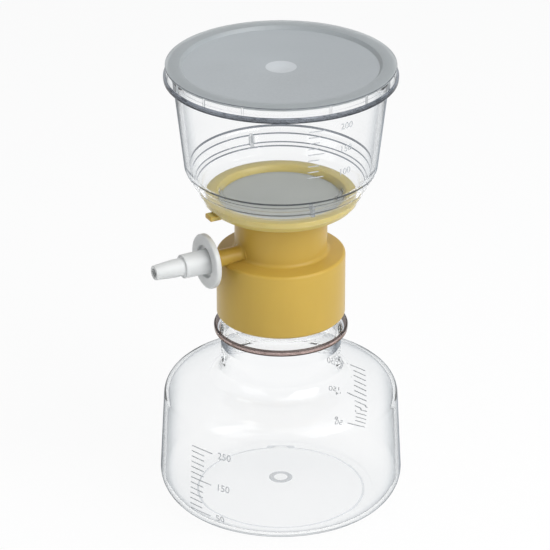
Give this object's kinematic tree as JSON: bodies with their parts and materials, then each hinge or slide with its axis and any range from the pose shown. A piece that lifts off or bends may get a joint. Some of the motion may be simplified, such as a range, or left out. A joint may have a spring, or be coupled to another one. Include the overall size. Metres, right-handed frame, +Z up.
{
  "type": "vacuum filtration unit",
  "caption": "Laboratory vacuum filter: a lidded clear upper chamber over a membrane on a yellow screw collar with a hose port, screwed onto a clear receiver bottle.",
  "frame": {"origin": "middle of the receiver's foot ring, on the surface that the unit stands on", "axes": "+Z up along the axis of the bottle, collar and chamber; the side arm and its hose adaptor point along -X"},
  "size_m": [0.1073, 0.1, 0.1918],
  "materials": {
    "clear_plastic": "clear, smooth, glossy moulded polystyrene",
    "yellow_plastic": "opaque warm yellow moulding, softly glossy",
    "white_plastic": "opaque white moulding",
    "adaptor_plastic": "off-white, slightly translucent polypropylene",
    "membrane_sheet": "matte pale grey-white filter membrane",
    "gasket_rubber": "pale soft rubber",
    "cotton": "white cotton wool"
  },
  "bodies": {
    "receiver": {"receiver": "clear_plastic"},
    "seal": {"bottle_gasket": "gasket_rubber"},
    "head": {"collar": "yellow_plastic", "support_grid": "white_plastic", "membrane": "membrane_sheet", "upper_chamber": "clear_plastic", "cotton_plug": "cotton"},
    "lid": {"lid": "clear_plastic"},
    "adaptor": {"tubing_adaptor": "adaptor_plastic"}
  },
  "joints": [
    {"name": "head_lift", "type": "slide", "parent": "receiver", "child": "seal", "axis": [0, 0, 1], "range_m": [0, 0.0064]},
    {"name": "head_turn", "type": "hinge", "parent": "seal", "child": "head", "pos_m": [0, 0, 0.09], "axis": [0, 0, 1], "range_deg": [0, 540]},
    {"name": "lid_lift", "type": "slide", "parent": "head", "child": "lid", "axis": [0, 0, 1], "range_m": [0, 0.04]},
    {"name": "adaptor_pull", "type": "slide", "parent": "head", "child": "adaptor", "axis": [-1, 0, 0], "range_m": [0, 0.012]}
  ],
  "couplings": [
    {"joint": "head_lift", "follows": "head_turn", "m_per_rad": 0.00066845}
  ]
}
